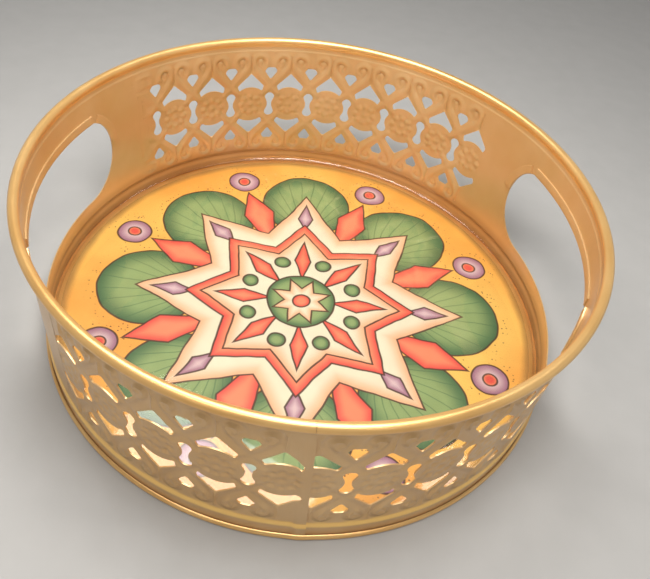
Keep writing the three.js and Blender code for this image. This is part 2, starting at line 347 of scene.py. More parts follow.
@dataclass(frozen=True)
class Lattice:
    """Openings and relief of the pierced lattice; heights are measured from its middle line."""

    sizes: TraySizes
    middle: float = 43.3 * MM
    column_half_width: float = 3.9 * MM
    strap_flat: float = 0.7 * MM
    strap_slope: float = 1.5 * MM
    strap_crest: float = 0.5 * MM
    groove_half_width: float = 1.1 * MM
    groove_depth: float = 0.6 * MM
    parting_half_width: float = 0.9 * MM
    rosette_radius: float = 5.3 * MM
    petal_half_width: float = 2.3 * MM
    petal_height: float = 0.6 * MM
    dimple_depth: float = 0.4 * MM
    boss_height: float = 0.6 * MM
    petals: int = 8

    def dumbbell(self) -> Outline:
        """Opening of two round lobes joined by a waist."""
        lobe, offset, waist = 2.75 * MM, 4.9 * MM, 1.35 * MM
        right = arc(0, offset, lobe, -38, 90, 9)
        neck = [(waist + 0.12 * MM, 1.5 * MM), (waist, 0.0), (waist + 0.12 * MM, -1.5 * MM)]
        lower_right = [(x, -y) for x, y in reversed(right)]
        half = lower_right + list(reversed(neck)) + right
        return half + [(-x, y) for x, y in reversed(half)][1:-1]

    def drop(self) -> Outline:
        """Opening with an arched head and its point towards the middle line."""
        corners = [(0, 16.0, 1.0), (3.75, 21.2, 1.4), (2.3, 23.7, 1.6), (-2.3, 23.7, 1.6), (-3.75, 21.2, 1.4)]
        return rounded([(x * MM, y * MM, r * MM) for x, y, r in corners])

    def pointed(self) -> Outline:
        """Pointed opening over a medallion, hollowed round it."""
        hollow = [(x * MM, math.sqrt(11.0 ** 2 - x * x) * MM, 0.0) for x in (-4.6, -3, -1.5, 0, 1.5, 3, 4.6)]
        right = [(6.9, 8.7, 1.5), (7.9, 12.0, 1.6), (0.0, 19.8, 1.2)]
        left = [(-7.9, 12.0, 1.6), (-6.9, 8.7, 1.5)]
        return rounded(hollow + [(x * MM, y * MM, r * MM) for x, y, r in right + left])

    def openings(self, panel: Panel) -> list[Outline]:
        """Outlines cut through one module, with heights from the table."""
        if panel is Panel.COLUMN:
            shapes = [self.dumbbell(), self.drop(), flipped(self.drop())]
        else:
            shapes = [self.pointed(), flipped(self.pointed())]
        return [[(x, y + self.middle) for x, y in shape] for shape in shapes]

    def scroll_groove(self) -> np.ndarray:
        """Pressed line of one scroll, right of a column and above the middle line."""
        tail = [(6.7, 22.9), (8.0, 24.6)]
        ring = arc(6.5, 26.9, 2.0, -30, 235, 14)
        return np.array(tail + ring) * MM

    def strap_line(self) -> np.ndarray:
        """Middle of one strap, from below its crossing up and round its scroll."""
        rise = [(-4.6, 7.2), (0.0, 12.0), (4.5, 16.7), (8.3, 21.2), (9.9, 24.4)]
        return np.array(rise + arc(6.5, 26.9, 3.75, 0, 200, 10)) * MM

    @staticmethod
    def from_line(path: np.ndarray, x: np.ndarray, y: np.ndarray) -> np.ndarray:
        """Distance of points from a line of segments.

        Args:
            path: corners of the line.
            x: first coordinates.
            y: second coordinates.

        Returns:
            The distances.
        """
        best = np.full_like(x, 1.0)
        for a, b in zip(path, path[1:]):
            line = b - a
            t = np.clip(((x - a[0]) * line[0] + (y - a[1]) * line[1]) / line.dot(line), 0, 1)
            best = np.minimum(best, np.hypot(x - a[0] - t * line[0], y - a[1] - t * line[1]))
        return best

    @staticmethod
    def bell(distance: np.ndarray, half_width: float) -> np.ndarray:
        """Smooth hump that is 1 on a line and 0 from its half width outwards."""
        t = np.clip(1 - distance / half_width, 0, 1)
        return t * t * (3 - 2 * t)

    def column_relief(self, x: np.ndarray, y: np.ndarray) -> np.ndarray:
        """Relief round a column: crested straps and the pressed lines of the four scrolls.

        Args:
            x: arc lengths from the column.
            y: heights from the middle line.

        Returns:
            Outward relief in metres.
        """
        across, up = np.abs(x), np.abs(y)
        line = self.strap_line()
        off = np.minimum(self.from_line(line, across, up), self.from_line(line, -across, up))
        crest = self.bell(np.maximum(off - self.strap_flat, 0), self.strap_slope)
        groove = self.bell(self.from_line(self.scroll_groove(), across, up), self.groove_half_width)
        return self.groove_depth * groove - self.strap_crest * crest * (1 - groove)

    def medallion_relief(self, x: np.ndarray, y: np.ndarray) -> np.ndarray:
        """Relief on a medallion's middle line: rosette, boss and the pressed lines over its pointed openings.

        Args:
            x: arc lengths from the medallion.
            y: heights from the middle line.

        Returns:
            Outward relief in metres.
        """
        far = np.hypot(x, y)
        share = 2 * math.pi / self.petals
        turn = np.arctan2(y, x)
        petal = (turn + share / 2) % share - share / 2
        between = turn % share - share / 2
        off_petal = np.hypot(far * np.cos(petal) - self.rosette_radius, far * np.sin(petal))
        off_gap = np.hypot(far * np.cos(between) - self.rosette_radius - 1.2 * MM, far * np.sin(between))
        petals = -self.petal_height * self.bell(off_petal, self.petal_half_width)
        dimples = self.dimple_depth * self.bell(off_gap, 1.3 * MM)
        boss = -self.boss_height * self.bell(far, 2.1 * MM)
        off_line = self.from_line(np.array([(0.0, 20.6), (0.0, 30.0)]) * MM, np.abs(x), np.abs(y))
        parting = self.groove_depth * self.bell(off_line, self.parting_half_width)
        return dimples + petals + boss + parting


@dataclass
class WallSheet:
    """The pierced wall strip: flat modules cut, joined, embossed, bent round and given their thickness."""

    sizes: TraySizes
    section: WallSection
    lattice: Lattice
    thickness: float = 0.56 * MM
    fine_bottom: float = 11.6 * MM
    fine_top: float = 76.4 * MM
    fine_step: float = 0.84 * MM
    wide_step: float = 1.2 * MM
    rosette_reach: float = 8.4 * MM
    scroll_low: float = 21.6 * MM
    scroll_high: float = 31.2 * MM
    column_grid: int = 8
    medallion_grid: int = 20
    seam_grid: int = 15
    handle_grid: int = 44
    coarse_column: float = 2.8 * MM
    seam_skew: float = -0.055
    seam_skew_reach: float = 15 * MM
    handle_half_width: float = 59 * MM
    handle_turn: float = math.radians(1.2)
    handle_top: float = 63.2 * MM
    handle_bottom: float = 19 * MM
    handle_waist: float = 43 * MM
    lower_corner: float = 20 * MM
    upper_corner: float = 14 * MM
    corner_steps: int = 16
    seam_medallion: int = 50
    columns: tuple[int, ...] = (*range(9, 26, 2), *range(42, 49, 2), *range(51, 58, 2))
    medallions: tuple[int, ...] = (*range(8, 25, 2), *range(41, 50, 2), *range(50, 59, 2))

    @property
    def start_angle(self) -> float:
        """Angle of the strip's inner end, under the lap."""
        return self.sizes.seam_angle - self.sizes.lap / self.sizes.wall_radius

    def arc_at(self, index: float) -> float:
        """Arc length from the strip's inner end to a half-pitch index, always forwards."""
        angle = index * 2 * math.pi / self.sizes.half_pitches
        return ((angle - self.start_angle) % (2 * math.pi)) * self.sizes.wall_radius

    def handle_outline(self) -> Outline:
        """Hand opening: a wide window with quarter-ellipse corners."""
        lower = (self.lower_corner, self.handle_waist - self.handle_bottom, -90)
        upper = (self.upper_corner, self.handle_top - self.handle_waist, 0)
        right: Outline = []
        for across, tall, first in (lower, upper):
            centre = self.handle_half_width - across
            for i in range(0 if first < 0 else 1, self.corner_steps + 1):
                turn = math.radians(first + 90 * i / self.corner_steps)
                right.append((centre + across * math.cos(turn), self.handle_waist + tall * math.sin(turn)))
        return right + [(-x, y) for x, y in reversed(right)]

    def bands(self) -> list[Triple]:
        """Bands of even rows as (bottom, top, step): fine at the foot, the scrolls and the rosettes."""
        middle, fine, wide = self.lattice.middle, self.fine_step, self.wide_step
        ups = (-self.scroll_low, -self.rosette_reach, self.rosette_reach, self.scroll_low, self.scroll_high)
        marks = [self.fine_bottom, *(middle + up for up in ups), self.fine_top]
        return list(zip(marks, marks[1:], [fine, wide, fine, wide, fine, wide]))

    def module(self, panel: Panel, x0: float, x1: float, centre: float, count: int) -> bmesh.types.BMesh:
        """Makes one flat module of the strip with its openings cut.

        Args:
            panel: what the module holds.
            x0: arc length of its first edge.
            x1: arc length of its last edge.
            centre: arc length of the middle of its openings.
            count: number of grid columns.

        Returns:
            A one-sided flat bmesh with x as arc length and y as path length.
        """
        rows = self.section.rows(self.bands())
        bm = bmesh.new()
        bmesh.ops.create_grid(bm, x_segments=count, y_segments=len(rows) - 1, size=0.5)
        for vert in bm.verts:
            vert.co.x = x0 + (x1 - x0) * (vert.co.x + 0.5)
            vert.co.y = rows[round((vert.co.y + 0.5) * (len(rows) - 1))]
        if panel is Panel.PLAIN:
            return bm
        outlines = [self.handle_outline()] if panel is Panel.HANDLE else self.lattice.openings(panel)
        return self.cut(bm, [[(x + centre, y) for x, y in outline] for outline in outlines])

    def cut(self, bm: bmesh.types.BMesh, outlines: list[Outline]) -> bmesh.types.BMesh:
        """Cuts openings through a flat sheet.

        Args:
            bm: the flat sheet at height 0.
            outlines: outlines of the openings.

        Returns:
            The sheet's upper skin with the openings cut.
        """
        depth = 1 * MM
        made = bmesh.ops.extrude_face_region(bm, geom=bm.faces[:] + bm.edges[:] + bm.verts[:])
        lifted = [g for g in made["geom"] if isinstance(g, bmesh.types.BMVert)]
        bmesh.ops.translate(bm, verts=lifted, vec=(0, 0, depth))
        bmesh.ops.recalc_face_normals(bm, faces=bm.faces)
        slab = to_object("slab", bm)
        prisms = bmesh.new()
        for outline in outlines:
            face = prisms.faces.new([prisms.verts.new((x, y, -depth)) for x, y in outline])
            grown = bmesh.ops.extrude_face_region(prisms, geom=[face])
            top = [g for g in grown["geom"] if isinstance(g, bmesh.types.BMVert)]
            bmesh.ops.translate(prisms, verts=top, vec=(0, 0, 3 * depth))
        bmesh.ops.recalc_face_normals(prisms, faces=prisms.faces)
        cutter = to_object("cutter", prisms)
        boolean = slab.modifiers.new("cut", "BOOLEAN")
        boolean.operation = "DIFFERENCE"
        boolean.solver = "EXACT"
        boolean.object = cutter
        depsgraph = bpy.context.evaluated_depsgraph_get()
        mesh = bpy.data.meshes.new_from_object(slab.evaluated_get(depsgraph))
        result = bmesh.new()
        result.from_mesh(mesh)
        lower = [f for f in result.faces if f.calc_center_median().z < depth * 0.9]
        bmesh.ops.delete(result, geom=lower, context="FACES")
        bmesh.ops.translate(result, verts=result.verts, vec=(0, 0, -depth))
        for obj in (slab, cutter):
            bpy.data.objects.remove(obj)
        bpy.data.meshes.remove(mesh)
        return result

    def plan(self) -> list[Module]:
        """Lists the modules round the strip as (panel, start, end, centre, grid columns)."""
        half = self.lattice.column_half_width
        wide = self.sizes.half_pitch - half
        spans: list[Module] = []
        for index in self.columns:
            middle = self.arc_at(index)
            spans.append((Panel.COLUMN, middle - half, middle + half, middle, self.column_grid))
        for index in self.medallions:
            middle = self.arc_at(index)
            first, grid = middle - wide, self.medallion_grid
            if index == self.seam_medallion:
                first, grid = 0.0, self.seam_grid
            spans.append((Panel.MEDALLION, first, middle + wide, middle, grid))
        for index, turn in ((0, self.handle_turn), (33, -self.handle_turn)):
            centre = self.arc_at(index) + turn * self.sizes.wall_radius
            edge = self.handle_half_width + 3 * MM
            spans.append((Panel.HANDLE, centre - edge, centre + edge, centre, self.handle_grid))
        spans.sort(key=lambda span: span[1])
        total = 2 * math.pi * self.sizes.wall_radius + self.sizes.lap
        filled: list[Module] = []
        reached = 0.0
        for span in spans + [(Panel.PLAIN, total, total, total, 0)]:
            gap = span[1] - reached
            if gap > 0.05 * MM:
                filled.append((Panel.PLAIN, reached, span[1], 0.0, max(1, round(gap / self.coarse_column))))
            if span[4]:
                filled.append(span)
            reached = span[2]
        return filled

    def strip(self) -> bmesh.types.BMesh:
        """Joins all modules into the flat strip."""
        whole = bmesh.new()
        copies: dict[tuple[Panel, int], tuple[bpy.types.Mesh, float]] = {}
        for panel, x0, x1, centre, count in self.plan():
            key = (panel, count)
            if panel is Panel.PLAIN or key not in copies:
                part = self.module(panel, x0, x1, centre, count)
                mesh = bpy.data.meshes.new("module")
                part.to_mesh(mesh)
                part.free()
                copies[key] = (mesh, centre)
            mesh, made_at = copies[key]
            before = len(whole.verts)
            whole.from_mesh(mesh)
            whole.verts.ensure_lookup_table()
            if panel is not Panel.PLAIN:
                bmesh.ops.translate(whole, verts=whole.verts[before:], vec=(centre - made_at, 0, 0))
        for mesh in {mesh for mesh, _ in copies.values()}:
            bpy.data.meshes.remove(mesh)
        bmesh.ops.remove_doubles(whole, verts=whole.verts, dist=0.02 * MM)
        self.thin_out(whole)
        return whole

    def thin_out(self, bm: bmesh.types.BMesh) -> None:
        """Dissolves the level edges of the plain and handle panels where the sheet is straight and smooth.

        Args:
            bm: the flat strip, changed in place.
        """
        bare = [(x0, x1) for panel, x0, x1, _, _ in self.plan() if panel in (Panel.PLAIN, Panel.HANDLE)]
        low, high = self.sizes.shoulder + 2.6 * MM, self.fine_top - 0.4 * MM
        level = []
        for edge in bm.edges:
            a, b = edge.verts[0].co, edge.verts[1].co
            middle = (a.x + b.x) / 2
            flat = abs(a.y - b.y) < 1e-7 and low < a.y < high and any(x0 < middle < x1 for x0, x1 in bare)
            if flat and not edge.verts[0].is_boundary and not edge.verts[1].is_boundary:
                level.append(edge)
        ends = np.array([[v.co.x for v in e.verts] for e in level])
        heights = np.array([e.verts[0].co.y for e in level])
        bumpy = np.zeros(len(level), dtype=bool)
        for side in (0, 1):
            for shift in (-1.6 * MM, -0.8 * MM, 0.0, 0.8 * MM, 1.6 * MM):
                bumpy |= np.abs(self.relief(ends[:, side], heights + shift)) > 1e-6
        smooth = [e for e, rough in zip(level, bumpy) if not rough]
        bmesh.ops.dissolve_edges(bm, edges=smooth, use_verts=True, use_face_split=False)

    def relief(self, x: np.ndarray, t: np.ndarray) -> np.ndarray:
        """Outward relief of the lattice over the whole strip.

        Args:
            x: arc lengths from the strip's inner end.
            t: path lengths.

        Returns:
            The relief in metres.
        """
        up = t - self.lattice.middle
        total = np.zeros_like(x)
        reach = 1.25 * self.sizes.half_pitch
        kinds = ((self.columns, self.lattice.column_relief), (self.medallions, self.lattice.medallion_relief))
        for indices, relief in kinds:
            for index in indices:
                off = x - self.arc_at(index)
                near = np.abs(off) < reach
                total[near] += relief(off[near], up[near])
        return total

    def lap_lift(self, x: np.ndarray) -> np.ndarray:
        """How far the strip's outer end is set out over its inner end.

        Args:
            x: arc lengths from the strip's inner end.

        Returns:
            The outward shift in metres.
        """
        total = 2 * math.pi * self.sizes.wall_radius
        rise = np.clip((x - (total - 2.5 * MM)) / (2.2 * MM), 0, 1)
        return (self.sizes.sheet + 0.03 * MM) * rise * rise * (3 - 2 * rise)

    def bend(self, bm: bmesh.types.BMesh) -> None:
        """Embosses the flat strip and bends it round the tray's axis.

        Args:
            bm: the flat strip, changed in place.
        """
        x = np.array([v.co.x for v in bm.verts])
        t = np.array([v.co.y for v in bm.verts])
        radius, height, out_r, out_z = self.section.at(t)
        lift = self.relief(x, t) + self.lap_lift(x)
        end = 2 * math.pi * self.sizes.wall_radius + self.sizes.lap
        near_seam = self.lattice.bell(np.minimum(x, end - x), self.seam_skew_reach)
        x = x + self.seam_skew * (t - self.lattice.middle) * near_seam
        angle = self.start_angle + x / self.sizes.wall_radius
        r = radius + out_r * lift
        z = height + out_z * lift
        for vert, rr, aa, zz in zip(bm.verts, r, angle, z):
            vert.co = (rr * math.cos(aa), rr * math.sin(aa), zz)

    def build(self) -> bpy.types.Object:
        """Builds the wall sheet with its thickness."""
        bm = self.strip()
        self.bend(bm)
        ngons = [f for f in bm.faces if len(f.verts) > 4]
        bmesh.ops.triangulate(bm, faces=ngons)
        bmesh.ops.recalc_face_normals(bm, faces=bm.faces)
        sample = bm.faces[0]
        middle = sample.calc_center_median()
        if sample.normal.dot(Vector((middle.x, middle.y, 0))) < 0:
            bmesh.ops.reverse_faces(bm, faces=bm.faces)
        return thickened("pierced_wall", bm, self.thickness, 50)


@dataclass
class RolledRim:
    """The wall's top edge rolled over its wire, with the joint in line with the seam."""

    sizes: TraySizes
    section: WallSection
    steps: int = 330
    joint_gap: float = 0.1 * MM
    joint_shift: float = math.radians(-1.4)
    facet_room: float = 0.16 * MM

    def build(self) -> bpy.types.Object:
        """Spins the rim's curl from joint to joint."""
        radius = self.sizes.rim_radius - self.sizes.sheet / 2 - self.facet_room
        cr = self.sizes.wall_radius + self.sizes.rim_offset
        cz = self.sizes.height - self.sizes.rim_radius + self.facet_room
        curl = arc(cr, cz, radius, 212, -68, 22)
        under = self.sizes.wall_radius + self.section.step_depth
        neck = [(under, self.section.neck), (under + 0.03 * MM, cz - 1.9 * MM), (under, cz - 1.6 * MM)]
        gap = self.joint_gap / cr
        joint = self.sizes.seam_angle + self.joint_shift
        bm = spun(neck + curl, self.steps, 2 * math.pi - gap, joint + gap / 2)
        bmesh.ops.recalc_face_normals(bm, faces=bm.faces)
        return thickened("rolled_rim", bm, self.sizes.sheet, 45)


@dataclass
class HandHems:
    """Sheet folded back inside along the top and round the upper corners of one hand opening."""

    sizes: TraySizes
    wall: WallSheet
    width: float = 4.5 * MM
    thickness: float = 0.7 * MM
    top_half_length: float = 46.5 * MM
    corner_start: float = 8
    corner_end: float = 72
    top_points: int = 46
    corner_points: int = 15

    def strips(self) -> list[list[tuple[Vector, Vector]]]:
        """Pairs of inner and outer flat points along each hem."""
        wall, reach = self.wall, self.top_half_length / MM
        top = [(Vector((x * MM, wall.handle_top)), Vector((x * MM, wall.handle_top + self.width)))
               for x in np.linspace(reach, -reach, self.top_points)]
        corner = []
        for turn in np.radians(np.linspace(self.corner_start, self.corner_end, self.corner_points)):
            pair = []
            for grow in (0.0, self.width):
                across = wall.upper_corner + grow
                tall = wall.handle_top - wall.handle_waist + grow
                x = wall.handle_half_width - wall.upper_corner + across * math.cos(turn)
                pair.append(Vector((x, wall.handle_waist + tall * math.sin(turn))))
            corner.append((pair[0], pair[1]))
        mirror = [(Vector((-a.x, a.y)), Vector((-b.x, b.y))) for a, b in corner]
        return [top, corner, mirror]

    def build(self, side: int) -> bpy.types.Object:
        """Builds the three hems of one opening.

        Args:
            side: 0 for the opening on +X and 1 for the one on -X.

        Returns:
            One object with the three hems.
        """
        bm = bmesh.new()
        inside = self.sizes.wall_radius - self.sizes.sheet / 2
        centre = self.wall.handle_turn if side == 0 else math.pi - self.wall.handle_turn
        profile = [(0.0, 0.35), (0.0, -0.3), (0.03, -0.7), (0.1, -0.95), (0.2, -1.0)]
        profile += [(0.94, -1.0), (0.99, -0.9), (1.0, -0.75), (1.0, 0.05)]
        for strip in self.strips():
            rows = []
            for low, high in strip:
                row = []
                for along, depth in profile:
                    flat = low.lerp(high, along)
                    angle = centre + flat.x / self.sizes.wall_radius
                    radius = inside + depth * self.thickness
                    row.append(bm.verts.new((radius * math.cos(angle), radius * math.sin(angle), flat.y)))
                rows.append(row)
            edges = [[bm.edges.new(pair) for pair in zip(row, row[1:] + row[:1])] for row in rows]
            for first, second in zip(edges, edges[1:]):
                bmesh.ops.bridge_loops(bm, edges=first + second)
            bmesh.ops.holes_fill(bm, edges=edges[0] + edges[-1], sides=0)
        bmesh.ops.recalc_face_normals(bm, faces=bm.faces)
        obj = to_object("hand_hems_right" if side == 0 else "hand_hems_left", bm)
        return finish_mesh(obj, 50)


@dataclass
class BasePan:
    """The round floor sheet with its edge rolled over the wall's flange into the base bead."""

    sizes: TraySizes
    steps: int = 330
    bead_radius: float = 1.5 * MM
    ramp: float = 1.0 * MM
    bead_end: float = 80
    bulge: float = 0.3 * MM
    bulge_reach: float = 4 * MM

    def build(self) -> bpy.types.Object:
        """Spins the pan's middle line and gives it its sheet."""
        sheet = self.sizes.sheet
        centre = self.sizes.bead_outer_radius - self.bead_radius
        floor_z = self.sizes.print_bottom - sheet / 2
        inner = self.sizes.floor_radius
        line = [
            (0.0, floor_z),
            (inner * 0.35, floor_z),
            (inner * 0.7, floor_z),
            (inner - 0.2 * MM, floor_z),
            (inner, floor_z - 0.04 * MM),
            (inner + self.ramp - 0.15 * MM, sheet / 2 + 0.06 * MM),
            (inner + self.ramp + 0.1 * MM, sheet / 2),
        ]
        line += arc(centre, self.bead_radius, self.bead_radius - sheet / 2, -90, self.bead_end, 12)
        bm = spun(line, self.steps)
        for vert in bm.verts:
            vert.co += self.seam_bulge(vert.co)
        bmesh.ops.recalc_face_normals(bm, faces=bm.faces)
        return thickened("base_pan_rolled", bm, sheet, 45)

    def seam_bulge(self, place: Vector) -> Vector:
        """Small outward push of the bead where it grips the lap seam.

        Args:
            place: a point of the pan's middle line.

        Returns:
            The push, nothing inside the bead.
        """
        radius = math.hypot(place.x, place.y)
        if radius < self.sizes.coat_radius:
            return Vector()
        turn = math.atan2(place.y, place.x) % (2 * math.pi) - self.sizes.seam_angle
        push = self.bulge * math.exp(-(turn * radius / self.bulge_reach) ** 2)
        return Vector((place.x, place.y, 0)).normalized() * push


@dataclass
class PrintedFloor:
    """The printed layer on the pan's floor."""

    sizes: TraySizes
    steps: int = 264

    def build(self) -> bpy.types.Object:
        """Spins the thin disc with a slightly eased edge."""
        low, top, radius = self.sizes.print_bottom, self.sizes.print_top, self.sizes.print_radius
        ease = (top - low) * 0.3
        line = [(0.0, low), (radius, low), (radius, top - ease), (radius - ease, top)]
        line += [(radius * k / 6, top) for k in range(5, -1, -1)]
        bm = spun(line, self.steps)
        bmesh.ops.recalc_face_normals(bm, faces=bm.faces)
        return finish_mesh(to_object("print_layer", bm), 40)


@dataclass
class ClearCoat:
    """The clear resin poured over the print, drawn up the wall's foot in a hollow fillet."""

    sizes: TraySizes
    steps: int = 264
    fillet_width: float = 2.6 * MM
    wall_skin: float = 0.26 * MM
    swell: float = 0.03 * MM
    waves: tuple[float, float, float] = (41, 37, 83)
    gap: float = 0.1 * MM
    lift: float = 0.02 * MM
    fillet_steps: int = 8
    top_rings: int = 28

    def build(self) -> bpy.types.Object:
        """Spins the coat and makes its top slightly uneven."""
        s = self.sizes
        outer = s.wall_radius + s.foot_step - self.wall_skin
        inner = s.print_radius + self.gap
        low, high = s.print_bottom + self.lift, s.print_top + self.lift
        line = [(0.0, high), (inner, high), (inner, low), (outer, low)]
        rise = s.coat_edge_top - s.coat_top
        for i in range(self.fillet_steps + 1):
            turn = math.pi / 2 * (1 - i / self.fillet_steps)
            radius = outer - self.fillet_width * (1 - math.sin(turn))
            line.append((radius, s.coat_top + rise * (1 - math.cos(turn))))
        reach = outer - self.fillet_width
        line += [(reach * k / self.top_rings, s.coat_top) for k in range(self.top_rings - 1, -1, -1)]
        bm = spun(line, self.steps)
        for vert in bm.verts:
            if vert.co.z > s.coat_top - 0.05 * MM:
                vert.co.z += self.unevenness(vert.co.x, vert.co.y)
        bmesh.ops.recalc_face_normals(bm, faces=bm.faces)
        return finish_mesh(to_object("resin_coat", bm), 40)

    def unevenness(self, x: float, y: float) -> float:
        """Slow waves of the hardened coat, near zero at its edge.

        Args:
            x: first coordinate of a point on top of the coat.
            y: its second coordinate.

        Returns:
            How far the point is lifted.
        """
        far = math.hypot(x, y) / self.sizes.coat_radius
        along, across, slanting = self.waves
        wave = math.sin(x * along + 1.3) * math.cos(y * across - 0.4)
        wave += 0.5 * math.sin((x + y) * slanting + 2.1)
        return self.swell * wave * max(0.0, 1 - far ** 4)


class Node:
    """Wraps a socket so that shader maths reads as Python; works on values."""

    def __init__(self, graph: "Graph", socket: bpy.types.NodeSocket) -> None:
        """Keeps the graph and the socket."""
        self.graph = graph
        self.socket = socket

    def __add__(self, other: Any) -> "Node":
        """Sum."""
        return self.graph.math("ADD", self, other)

    __radd__ = __add__

    def __sub__(self, other: Any) -> "Node":
        """Difference."""
        return self.graph.math("SUBTRACT", self, other)

    def __rsub__(self, other: Any) -> "Node":
        """Reflected difference."""
        return self.graph.math("SUBTRACT", other, self)

    def __mul__(self, other: Any) -> "Node":
        """Product."""
        return self.graph.math("MULTIPLY", self, other)

    __rmul__ = __mul__

    def __truediv__(self, other: Any) -> "Node":
        """Quotient."""
        return self.graph.math("DIVIDE", self, other)

    def __pow__(self, other: Any) -> "Node":
        """Power."""
        return self.graph.math("POWER", self, other)

    def __abs__(self) -> "Node":
        """Absolute value."""
        return self.graph.math("ABSOLUTE", self)

    def __neg__(self) -> "Node":
        """Negative."""
        return self.graph.math("MULTIPLY", self, -1.0)


class Graph:
    """Builds the node tree of one material, or of the world."""

    def __init__(self, name: str, world: bpy.types.World | None = None) -> None:
        """Starts an empty node tree in a new material or in the world.

        Args:
            name: name of the new material.
            world: the world, if the tree is the world's.
        """
        self.owner = world or bpy.data.materials.new(name)
        self.owner.use_nodes = True
        self.tree = self.owner.node_tree
        self.tree.nodes.clear()

    def feed(self, socket: bpy.types.NodeSocket, value: Any) -> None:
        """Links an output to an input, or sets the input's own value.

        Args:
            socket: the input.
            value: a wrapped or bare output socket, or a value.
        """
        source = value.socket if isinstance(value, Node) else value
        if isinstance(source, bpy.types.NodeSocket):
            self.tree.links.new(source, socket)
        else:
            socket.default_value = source

    def node(self, kind: str, settings: dict[str, Any] | None = None, **inputs: Any) -> bpy.types.Node:
        """Adds a node.

        Args:
            kind: node type without its prefix.
            settings: attributes set before the inputs.
            inputs: values or links by socket name with underscores, or by index as i0, i1 and so on.

        Returns:
            The new node.
        """
        made = self.tree.nodes.new("ShaderNode" + kind)
        for key, value in (settings or {}).items():
            setattr(made, key, value)
        for key, value in inputs.items():
            by_index = key[0] == "i" and key[1:].isdigit()
            self.feed(made.inputs[int(key[1:]) if by_index else key.replace("_", " ")], value)
        return made

    def math(self, operation: str, *values: Any) -> Node:
        """Adds a Math node."""
        inputs = {f"i{k}": value for k, value in enumerate(values)}
        return Node(self, self.node("Math", {"operation": operation}, **inputs).outputs[0])

    def smooth(self, value: Any, low: float, high: float) -> Node:
        """Smooth step from 0 at low to 1 at high."""
        ramp = {"interpolation_type": "SMOOTHSTEP"}
        made = self.node("MapRange", ramp, Value=value, From_Min=low, From_Max=high)
        return Node(self, made.outputs["Result"])

    def band(self, value: Node, rise: Span, fall: Span) -> Node:
        """Share that grows from 0 to 1 over one span of a value and falls back over another."""
        return self.smooth(value, *rise) * (1 - self.smooth(value, *fall))

    def mix(self, factor: Any, first: Any, second: Any, blend: str = "MIX") -> bpy.types.NodeSocket:
        """Mixes two colours and returns the colour socket."""
        settings = {"data_type": "RGBA", "blend_type": blend}
        return self.node("Mix", settings, i0=factor, i6=first, i7=second).outputs[2]

    def parts(self, vector: bpy.types.NodeSocket) -> tuple[Node, Node, Node]:
        """Splits a vector into its three parts."""
        x, y, z = self.node("SeparateXYZ", None, Vector=vector).outputs
        return Node(self, x), Node(self, y), Node(self, z)

    def coordinates(self, scale: float = 1.0) -> bpy.types.NodeSocket:
        """Object coordinates through a Mapping node."""
        source = self.node("TexCoord").outputs["Object"]
        return self.node("Mapping", Vector=source, Scale=(scale, scale, scale)).outputs["Vector"]

    def noise(self, scale: float, detail: float) -> Node:
        """Noise on object coordinates."""
        place = self.coordinates()
        made = self.node("TexNoise", None, Vector=place, Scale=scale, Detail=detail)
        return Node(self, made.outputs[0])

    def bump(self, height: Node, distance: float, strength: float) -> bpy.types.NodeSocket:
        """Bump from a height."""
        return self.node("Bump", None, Height=height, Distance=distance, Strength=strength).outputs[0]

    def output(self, shader: bpy.types.NodeSocket) -> bpy.types.Material:
        """Links the surface and returns the material."""
        self.node("OutputMaterial", None, Surface=shader)
        return self.owner

    def principled(self, **inputs: Any) -> bpy.types.Material:
        """Ends the material in a Principled surface with these inputs."""
        return self.output(self.node("BsdfPrincipled", None, **inputs).outputs[0])


def srgb(red: int, green: int, blue: int) -> Colour:
    """Linear colour of a screen colour."""
    linear = [c / 12.92 if c <= 0.04045 else ((c + 0.055) / 1.055) ** 2.4
              for c in (red / 255, green / 255, blue / 255)]
    return (linear[0], linear[1], linear[2], 1.0)


@dataclass(frozen=True)
class FootPaintedLight:
    """Painted shade inside the wall's foot and a painted highlight along the outside of its step, in
    millimetres; each span holds a soft change.
    """

    radius: float
    step_depth: float = 0.8
    step: Span = (9.3, 10.9)
    through_sheet: Span = (-0.1, 0.1)
    even_fall: Span = (10.5, 12.0)
    coat_fall: Span = (4.4, 7.0)
    # Spans of the painted shade in a band round the step, inside the foot.
    step_shade_rise: Span = (7.0, 9.8)
    step_shade_fall: Span = (11.5, 17.0)
    # Spans of the painted highlight along the outside of the step.
    highlight_rise: Span = (8.2, 9.8)
    highlight_fall: Span = (10.4, 12.2)
    even_share: float = 0.25
    coat_share: float = 0.3
    step_shade_share: float = 0.35
    highlight_share: float = 0.8
    # Colours of the painted shade inside the foot and of the painted highlight along the outside of the step.
    painted_shade: Colour = srgb(112, 74, 36)
    painted_highlight: Colour = srgb(255, 208, 118)

    def laid(self, g: Graph, base: bpy.types.NodeSocket) -> bpy.types.NodeSocket:
        """Lays painted shade inside the foot and a painted highlight line along the outside of the step.

        Args:
            g: the material's graph.
            base: the wall's colour.

        Returns:
            The new colour.
        """
        x, y, z = g.parts(g.coordinates(1 / MM))
        middle = self.radius - self.step_depth * g.smooth(z, *self.step)
        outside = g.smooth(g.math("SQRT", x * x + y * y) - middle, *self.through_sheet)
        # Painted shade: the inside of the foot is darker low down, next to the coat, and in a band round the
        # step.
        even = self.even_share * (1 - g.smooth(z, *self.even_fall))
        above_coat = self.coat_share * (1 - g.smooth(z, *self.coat_fall))
        below_step = self.step_shade_share * g.band(z, self.step_shade_rise, self.step_shade_fall)
        shaded = g.mix((1 - outside) * (even + above_coat + below_step), base, self.painted_shade)
        # Painted highlight: a lighter line along the outside of the step.
        return g.mix(outside * g.band(z, self.highlight_rise, self.highlight_fall) * self.highlight_share, shaded, self.painted_highlight)


